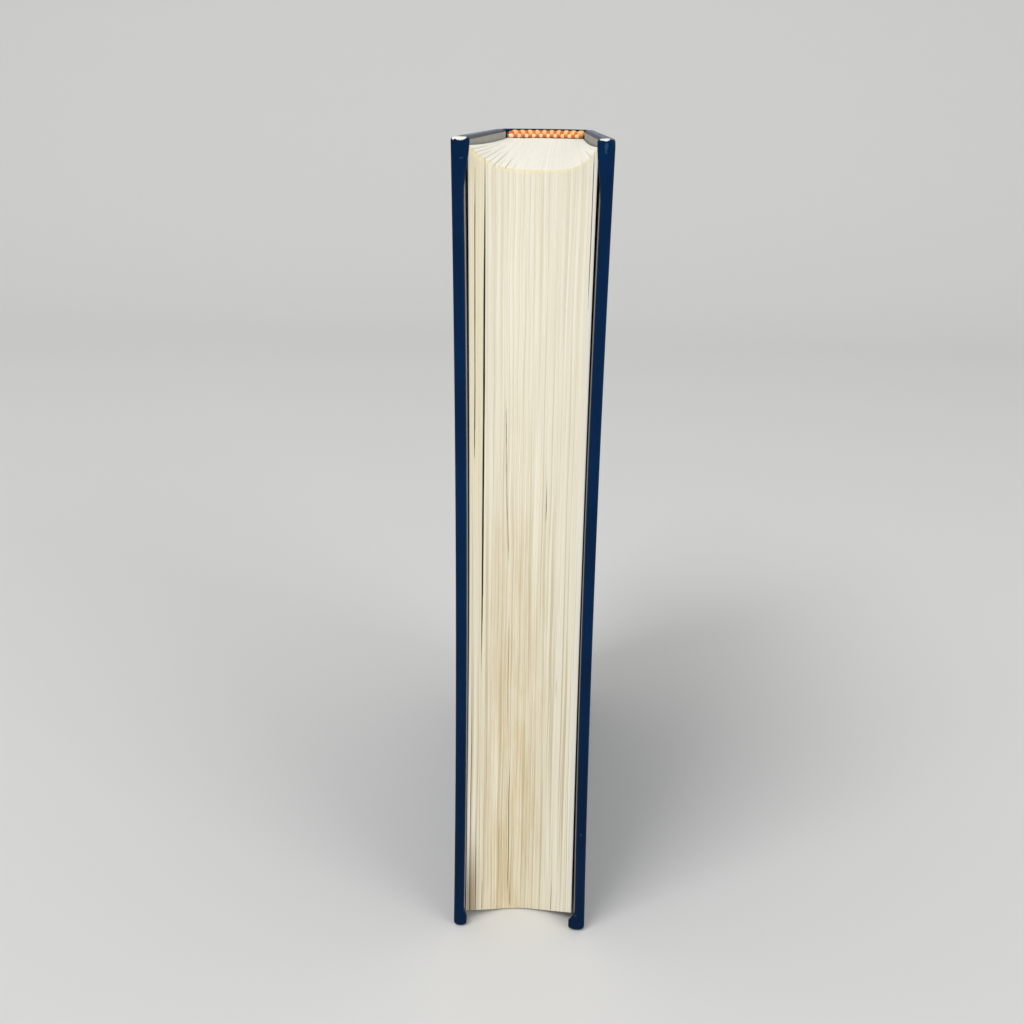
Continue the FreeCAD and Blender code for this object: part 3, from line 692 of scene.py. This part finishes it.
def cover_points(side, blows, folds, i, j, k):
    """The points on one cover."""
    o, y, z = round_edges(layers[i], reaches[j], heights[k])
    o, y, z = batter(o, y, z, blows, folds)
    x = PASTE_X + reach(np.minimum(y, HINGE_Y)) * (COVER_LEAN - COVER_BOW * bow(z)) + o
    radius = SPINE_SKIN - (JOINT_TOP - o)
    bend_x = radius * math.sin(WRAP)
    bend_y = ARC_CENTRE + radius * math.cos(WRAP)
    share = np.clip((y - HINGE_Y) / (JOINT_END - HINGE_Y), 0, 1)
    shoulder = share * share * (1 - share) * (JOINT_END - HINGE_Y) / math.tan(WRAP)
    x = x + (bend_x - x) * smooth(0, 1, share) + shoulder
    y = np.where(y > HINGE_Y, HINGE_Y + (bend_y - HINGE_Y) * share, y)
    return to_frame(side * x, y, z)


def fold_over(piece):
    """Bakes a piece's placement into its points."""
    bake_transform(piece)


# %% Build both coverings
SIDES = {"front": -1, "back": 1}
# Each blow: its place as a layer, a depth and a height, its size, and how far it knocks the corner in.
BLOWS = {
    "front": [((2.9, 0.2, 235.0), 0.7, 0.18), ((2.3, 0.1, 235.0), 0.3, 0.3), ((3.1, 0.2, 0.0), 1.1, 0.4),
              ((0.2, 0.2, 0.0), 1.0, 0.3)],
    "back": [((3.25, 0.2, 235.0), 1.3, 0.35), ((0.4, 0.2, 235.0), 0.6, 0.2), ((3.0, 0.2, 0.0), 1.1, 0.45),
             ((0.2, 0.2, 0.0), 1.0, 0.4)],
}
# How much thicker a corner is where it is folded, and how far along the edge: at the head, at the tail.
FOLDS = {"front": (1.65, 14.0, 0.9, 6.5), "back": (1.45, 16.0, 1.9, 6.2)}
for cover, side in SIDES.items():
    grid, faces = skin_of(covered_cells())
    points = cover_points(side, BLOWS[cover], FOLDS[cover], *grid)
    sheet = make_mesh(f"{cover}_cloth", points, faces, crease=45)
    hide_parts(f"{cover}_covering")
    dress(sheet, None, "covering", front_blue if cover == "front" else back_blue)
    fold_over(sheet)

# %% [markdown]
# ## The spine's covering
# Between the joints the same blue sheet runs round the spine over a strip of card, and is turned in
# over it at the head and the tail. It keeps off the leaves, which is why such a spine is called
# hollow. The shell is made like the boards', on a grid of rings, with the fold at each end rounded.

# %% Build the spine's covering
CARD_UNDER, FOLD_UNDER = 0.95, 1.3     # how deep the card's inner face and the turned-in layer lie
SPINE_EDGE = 0.6                       # the roundness of the fold at the head and the tail
rings = SPINE_SKIN - np.array([FOLD_UNDER, 1.12, CARD_UNDER, 0.65, CLOTH, 0.17, 0])
turns = np.linspace(-WRAP, WRAP, 73)
ring_mid, _, high_mid = np.meshgrid(
    *[(a[1:] + a[:-1]) / 2 for a in (rings, turns, heights)], indexing="ij")
to_end = np.minimum(high_mid, BOARD_HEIGHT - high_mid)
filled = (ring_mid > SPINE_SKIN - CLOTH) | (to_end < CLOTH)
filled |= (ring_mid < SPINE_SKIN - CARD_UNDER) & (to_end < TURN_IN)
grid, faces = skin_of(filled)
ring, turn, high = rings[grid[0]], turns[grid[1]], heights[grid[2]]
push_r = short(SPINE_EDGE, SPINE_SKIN - ring) - short(SPINE_EDGE, ring - SPINE_SKIN + FOLD_UNDER)
push_z = short(SPINE_EDGE, BOARD_HEIGHT - high) - short(SPINE_EDGE, high)
move_r, move_z = onto_arc(push_r, push_z)
ring, high = ring + move_r, high + move_z
points = to_frame(ring * np.sin(turn), ARC_CENTRE + ring * np.cos(turn), high)
spine = make_mesh("spine_cloth", points, faces, crease=40)
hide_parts("spine_covering")
dress(spine, "block", "covering", spine_blue)

# %% [markdown]
# ## Papers, boards and linings
# Under the covering are the things a binder handles: grey board, brown lining paper, card, and mull,
# an open starched cotton. Most stay hidden until a cover opens. Their solids have the right shape
# already, so each only needs its own surface.

# %% Make the paper and board materials
GLUE = paint(150, 132, 104)


def fibre_material(name, light, dark, fine, coarse, strength, rough):
    """Paper, card or board: two tones of fibre with a felt-like relief."""
    material, tree, shader = start(name)
    fibre = fill(tree, grain, [("Fine", fine), ("Coarse", coarse)])
    tone = maths(tree, "MULTIPLY", maths(tree, "ADD", fibre["Mottle"], fibre["Height"]), 0.5)
    tree.links.new(mix(tree, tone, dark, light), shader["Base Color"])
    tree.links.new(bump(tree, fibre["Height"], strength, distance=0.0001), shader["Normal"])
    tree.links.new(ramp(tree, fibre["Height"], 0.0, 1.0, rough - 0.08, rough + 0.06), shader["Roughness"])
    shader["Specular IOR Level"].default_value = 0.3
    return material


def woven_material(name, light, dark, pitch, rough):
    """Open cotton cloth: threads crossing at a pitch in metres, glue showing between them."""
    material, tree, shader = start(name)
    cloth = fill(tree, weave, [("Pitch", pitch)])
    fibre = fill(tree, grain, [("Fine", 3500.0), ("Coarse", 200.0)])
    thread = mix(tree, fibre["Mottle"], dark, light)
    tree.links.new(mix(tree, cloth["Thread"], GLUE, thread), shader["Base Color"])
    tree.links.new(bump(tree, cloth["Height"], strength=0.6, distance=0.0002), shader["Normal"])
    tree.links.new(ramp(tree, fibre["Height"], 0.0, 1.0, rough - 0.1, rough + 0.05), shader["Roughness"])
    return material


endpaper = fibre_material("endpaper", paint(238, 237, 231), paint(230, 228, 220), 2600.0, 35.0, 0.25, 0.82)
# The pastedown is a darker copy of the endpaper: partly its own greyer tone, partly painted shade of the
# space between the boards.
pasted_in_shade = fibre_material("pasted paper", paint(166, 165, 158), paint(153, 152, 144), 2600.0, 35.0, 0.25, 0.85)
grey_board = fibre_material("board", paint(158, 152, 142), paint(126, 119, 108), 1500.0, 120.0, 0.7, 0.92)
card = fibre_material("spine card", paint(196, 184, 158), paint(176, 162, 134), 1800.0, 80.0, 0.5, 0.88)
kraft = fibre_material("lining paper", paint(176, 140, 98), paint(148, 112, 74), 2200.0, 60.0, 0.4, 0.85)
mull = woven_material("mull", paint(236, 228, 208), paint(216, 204, 178), 0.0011, 0.9)
tape = woven_material("band tape", paint(238, 226, 196), paint(222, 206, 168), 0.0006, 0.85)

CARRIED = {
    "front_board": grey_board, "back_board": grey_board,
    "front_mull_wing": mull, "back_mull_wing": mull, "spine_mull": mull,
    "spine_lining": kraft, "spine_inlay": card,
    "front_pastedown": pasted_in_shade, "back_pastedown": pasted_in_shade,
}
for name, material in CARRIED.items():
    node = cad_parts[name]
    node.data.materials.clear()
    node.data.materials.append(material)
    for slot in node.material_slots:
        slot.material = material
print("carried over:", ", ".join(CARRIED))

# %% [markdown]
# ## The flyleaves
# The first and the last leaf are the free halves of the endpapers. They lie on the block, so they
# take the shape of its outermost column and stand one leaf's thickness off it, and their edges show
# as a white line beside the dark gap under each cover.

# %% Build the flyleaves
LEAF_GAP, LEAF_THICK = 0.02, 0.15
for cover, side, column in (("front", -1, 0), ("back", 1, COLUMNS)):
    grid, faces = slab(1, len(deep) - 1, len(rise) - 1)
    points = leaf_points(np.full(len(grid[0]), column), grid[1], grid[2])[0]
    points[:, 0] += side * MM * (LEAF_GAP + LEAF_THICK * grid[0])
    flyleaf = make_mesh(f"{cover}_free_leaf", points, faces)
    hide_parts(f"{cover}_flyleaf")
    dress(flyleaf, "block", "endpaper", endpaper)

# %% [markdown]
# ## The endpaper's fold
# A pastedown and its flyleaf are one sheet, folded in the gutter. The two solids stop short of the
# fold, so that a cover can turn. A narrow strip of the same paper lies on the pastedown's back edge
# and joins the two.

# %% Build the gutter folds
ROUTE = np.array([(14.46, 150.8), (14.46, 151.6), (14.46, 152.4), (14.46, 153.0), (14.47, 153.4),
                  (14.5, 153.8), (14.5, 154.2), (14.47, 154.6), (14.39, 154.86), (14.27, 154.95),
                  (14.12, 154.8)])
STRIP_THICK, STRIP_LIFT = 0.12, 0.02
along = np.gradient(ROUTE, axis=0)
normal = np.stack([along[:, 1], -along[:, 0]], 1) / np.linalg.norm(along, axis=1)[:, None]
levels = np.linspace(SPINE_TAIL + 0.3, SPINE_HEAD - 0.3, 40)
for cover, side in SIDES.items():
    grid, faces = slab(1, len(ROUTE) - 1, len(levels) - 1)
    flat = ROUTE[grid[1]] + normal[grid[1]] * (grid[0][:, None] * STRIP_THICK - STRIP_LIFT)
    points = to_frame(side * flat[:, 0], flat[:, 1], levels[grid[2]])
    strip = make_mesh(f"{cover}_gutter", points, faces)
    # The strip wears the pastedown's darker paper, which holds painted shade.
    dress(strip, None, "endpaper", pasted_in_shade)
    fold_over(strip)

# %% [markdown]
# ## The woven head and tail bands
# A band is sewn or woven over a cord along the edge of a tape: here a row of plump yellow beads, with
# orange-red thread between them, over a row of smaller cream ones. Each bead is thread wound round
# the cord, so it is turned like a small barrel with a ridge for every turn, and placed on the curve
# of the spine. A picture of a pattern would go flat from above, where the band is seen best.

# %% Make the thread materials
def thread_material(name, light, dark):
    """Twisted thread with a soft silky light."""
    material, tree, shader = start(name)
    fibre = fill(tree, grain, [("Fine", 5200.0), ("Coarse", 420.0)])
    tree.links.new(mix(tree, fibre["Mottle"], dark, light), shader["Base Color"])
    tree.links.new(bump(tree, fibre["Height"], strength=0.4, distance=0.00008), shader["Normal"])
    tree.links.new(ramp(tree, fibre["Height"], 0.0, 1.0, 0.5, 0.7), shader["Roughness"])
    shader["Sheen Weight"].default_value = 0.25
    return material


yellow = thread_material("yellow thread", paint(255, 208, 124), paint(246, 182, 92))
orange = thread_material("orange thread", paint(236, 116, 60), paint(214, 88, 46))
cream = thread_material("cream thread", paint(255, 232, 184), paint(244, 206, 146))

# %% Shape of a bead and of a cord
def turned(centres, tangents, radii):
    """A closed tube of rings: each ring has a centre, a direction and a radius."""
    count, sides = len(centres), 20
    angle = np.linspace(0, math.tau, sides, endpoint=False)
    out = np.stack([tangents[:, 1], -tangents[:, 0], np.zeros(count)], 1)
    up = np.array([0, 0, 1.0])
    ring = out[:, None] * np.cos(angle)[None, :, None] + up * np.sin(angle)[None, :, None]
    points = (centres[:, None] + ring * radii[:, None, None]).reshape(-1, 3)
    a = np.arange(sides)
    b = (a + 1) % sides
    faces = [np.stack([n * sides + a, n * sides + b, (n + 1) * sides + b, (n + 1) * sides + a], 1)
             for n in range(count - 1)]
    return points, np.concatenate(faces)


def on_arc(radius, x):
    """The points and the directions of the spine's arc at x."""
    y = ARC_CENTRE + np.sqrt(radius**2 - x**2)
    return np.stack([x, y], 1), np.stack([y - ARC_CENTRE, -x], 1) / radius


def cord_along(radius, z, half, size, ridge, pitch):
    """A cord half as long on each side of the middle, with a ridge for every turn of thread."""
    x = np.linspace(-half, half, int(2 * half / pitch * 8))
    flat, tangent = on_arc(radius, x)
    share = np.linspace(-1, 1, len(x))
    ends = np.sqrt(np.clip(1 - np.abs(share) ** 14, 0, 1))
    swell = size * np.maximum(ends, 0.02) + ridge * np.cos(math.tau * x / pitch) * ends
    return flat, tangent, np.full(len(x), z), np.maximum(swell, 0.01)


def bead_at(radius, z, x, size, length, turns_of_thread):
    """One bead: a barrel that is plump in the middle."""
    share = np.linspace(-1, 1, 33)
    flat, tangent = on_arc(radius, x + share * length / 2)
    plump = np.power(np.clip(1 - np.abs(share) ** 2.6, 0, 1), 0.5)
    ridges = 0.05 * size * np.cos(share * math.pi * turns_of_thread)
    return flat, tangent, np.full(len(share), z), np.maximum(size * plump + ridges * plump, 0.01)


def thread_piece(name, runs, material, level, up):
    """One piece from several tubes."""
    all_points, all_faces, start_at = [], [], 0
    for flat, tangent, z, radii in runs:
        centres = np.stack([flat[:, 0], flat[:, 1], level + up * z], 1)
        points, faces = turned(centres, tangent, radii)
        all_points.append(points)
        all_faces.append(faces + start_at)
        start_at += len(points)
    points = np.concatenate(all_points)
    piece = make_mesh(name, to_frame(*points.T), np.concatenate(all_faces), crease=70)
    return dress(piece, "block", "band_thread", material)


# %% Build the bands
PITCH, BEADS = 2.75, 10
BEAD_SHIFT = 1.0         # the row starts with a bare stretch of cord at the front cover
CORD_HALF = 13.7
TAPE_THICK, TAPE_LOW, TAPE_HIGH = 0.3, -9.0, 1.7
# Each row: how far inside the arc and how high it lies, where its first bead is, the beads' radius, length
# and turns of thread, and the cord's radius, ridge and pitch of thread.
ROWS = {
    "": (0.4, 1.7, -4.5, 1.12, 2.15, 5, 0.86, 0.05, 0.42, yellow),
    "small_": (1.1, 0.75, -5, 0.72, 1.7, 4, 0.5, 0.03, 0.4, cream),
}
for end, level, up in (("head", SPINE_HEAD, 1), ("tail", SPINE_TAIL, -1)):
    for row, (inset, z, first, size, length, threads, cord, ridge, twist, thread) in ROWS.items():
        radius = SPINE_RADIUS - inset
        places = [(i + first) * PITCH + BEAD_SHIFT for i in range(BEADS)]
        runs = [bead_at(radius, z, x, size, length, threads) for x in places]
        beads = thread_piece(f"{end}_band_{row}beads", runs, thread, level, up)
        if row == "":
            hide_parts(f"{end}_band")
        runs = [cord_along(radius, z, CORD_HALF, cord, ridge, twist)]
        thread_piece(f"{end}_band_{row}cord", runs, orange, level, up)
    turns = np.linspace(-WRAP, WRAP, 41)
    rises = np.linspace(TAPE_LOW, TAPE_HIGH, 12)
    grid, faces = slab(1, len(turns) - 1, len(rises) - 1)
    ring = SPINE_RADIUS + 0.01 + grid[0] * TAPE_THICK
    turn = turns[grid[1]]
    points = to_frame(ring * np.sin(turn), ARC_CENTRE + ring * np.cos(turn), level + up * rises[grid[2]])
    strip = make_mesh(f"{end}_band_tape", points, faces)
    dress(strip, "block", "band_thread", tape)

# %% [markdown]
# ## Floor, light and camera
# The book stands on a plain pale sweep that curves up behind it. One large soft lamp stands at the
# left and above, as daylight from a window would, and the world fills the shadows. The camera looks
# down at the opening edge from the same place as the photograph's did.

# %% Floor and backdrop
FLOOR_FRONT, SWEEP_START, SWEEP_RADIUS = -1.6, 0.9, 0.5
WALL_TOP, HALF_WIDTH = 2.4, 2.4
angles = np.linspace(0.1, math.pi / 2, 12)
floor_y = np.concatenate([np.linspace(FLOOR_FRONT, SWEEP_START, 6),
                          SWEEP_START + SWEEP_RADIUS * np.sin(angles), [SWEEP_START + SWEEP_RADIUS]])
floor_z = np.concatenate([np.zeros(6), SWEEP_RADIUS - SWEEP_RADIUS * np.cos(angles), [WALL_TOP]])
sweep_points = [(x, y, z) for x in (-HALF_WIDTH, HALF_WIDTH) for y, z in zip(floor_y, floor_z)]
rows = len(floor_y)
sweep_faces = [(n, n + 1, rows + n + 1, rows + n) for n in range(rows - 1)]
sweep_mesh = bpy.data.meshes.new("floor")
sweep_mesh.from_pydata(sweep_points, [], sweep_faces)
sweep_mesh.polygons.foreach_set("use_smooth", [True] * len(sweep_faces))
sweep = bpy.data.objects.new("floor", sweep_mesh)
bpy.context.scene.collection.objects.link(sweep)
pale_floor, _, shader = start("pale floor")
shader["Base Color"].default_value = (0.7, 0.7, 0.69, 1)
shader["Roughness"].default_value = 0.9
sweep_mesh.materials.append(pale_floor)
sweep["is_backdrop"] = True

# %% Lamps and world
AIM = Vector((0, 0, 0.12))
WORLD_STRENGTH = 0.58


def soft_lamp(name, place, size, watts):
    """A square lamp that faces the middle of the book."""
    lamp = bpy.data.lights.new(name, "AREA")
    lamp.size = size
    lamp.energy = watts
    holder = bpy.data.objects.new(name, lamp)
    holder.location = place
    holder.rotation_euler = (AIM - Vector(place)).to_track_quat("-Z", "Y").to_euler()
    bpy.context.scene.collection.objects.link(holder)


soft_lamp("window", (-0.8, -1.1, 1.95), 1.0, 22)
soft_lamp("fill", (1.3, -1.2, 0.9), 1.0, 9)
world = bpy.data.worlds.new("studio")
world.use_nodes = True
background = world.node_tree.nodes["Background"].inputs
background["Color"].default_value = (1, 1, 1, 1)
background["Strength"].default_value = WORLD_STRENGTH
bpy.context.scene.world = world
bpy.context.scene.view_settings.view_transform = "Standard"

# %% Camera
EYE = (0.00875, -0.37965, 0.24083)
LENS, SENSOR = 40.568, 36
DOWN, YAW, ROLL = (math.radians(a) for a in (19.114, -2.429, 0.785))
forward = Vector((math.sin(YAW) * math.cos(DOWN), math.cos(YAW) * math.cos(DOWN), -math.sin(DOWN)))
level_right = Vector((math.cos(YAW), -math.sin(YAW), 0))
level_up = level_right.cross(forward)
right = level_right * math.cos(ROLL) + level_up * math.sin(ROLL)
up = level_up * math.cos(ROLL) - level_right * math.sin(ROLL)
lens = bpy.data.cameras.new("camera")
lens.sensor_width = SENSOR
lens.lens = LENS
lens.clip_start = 0.01
camera = bpy.data.objects.new("camera", lens)
turn = Matrix((right, up, -forward)).transposed().to_4x4()
camera.matrix_world = Matrix.Translation(EYE) @ turn
bpy.context.scene.collection.objects.link(camera)
bpy.context.scene.camera = camera

# %% Measure and finish
low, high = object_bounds()
print("visual box:", [round(v, 5) for v in (*low, *high)])
